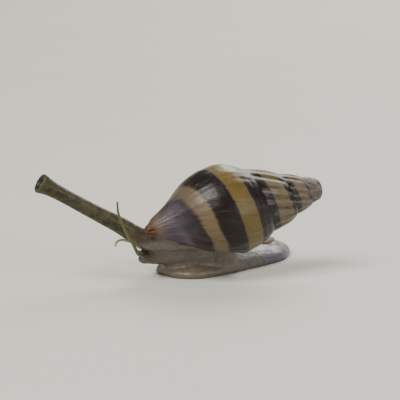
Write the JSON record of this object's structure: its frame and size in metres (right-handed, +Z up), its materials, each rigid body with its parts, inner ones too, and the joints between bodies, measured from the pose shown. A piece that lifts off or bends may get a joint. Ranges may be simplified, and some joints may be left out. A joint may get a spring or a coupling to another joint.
{
  "type": "assassin snail",
  "caption": "Life-size still model of a crawling freshwater snail with a banded spiral shell, a long siphon and two feelers.",
  "frame": {"origin": "on the floor below the middle of the animal's box", "axes": "+X from the siphon's tip towards the apex of the shell, +Y towards the animal's right side and tail, +Z up from the sole"},
  "size_m": [0.0306, 0.025, 0.0125],
  "materials": {
    "shell": "satin lime shell, dark brown and ochre spiral bands",
    "flesh": "moist taupe-grey skin with fine speckles",
    "feeler": "thin olive translucent skin",
    "eye": "wet black",
    "horn": "thin brown horn with growth lines"
  },
  "bodies": {
    "root": {"shell": "shell", "operculum": "horn", "head": "flesh", "neck": "flesh", "mantle": "flesh", "siphon_base": "flesh", "siphon_middle": "flesh", "siphon_tip": "flesh", "foot_front": "flesh", "foot_middle": "flesh", "foot_tail": "flesh", "tentacle_left_root": "flesh", "tentacle_left_middle": "feeler", "tentacle_left_tip": "feeler", "tentacle_right_root": "flesh", "tentacle_right_middle": "feeler", "tentacle_right_tip": "feeler", "eye_left": "eye", "eye_right": "eye"}
  },
  "joints": []
}
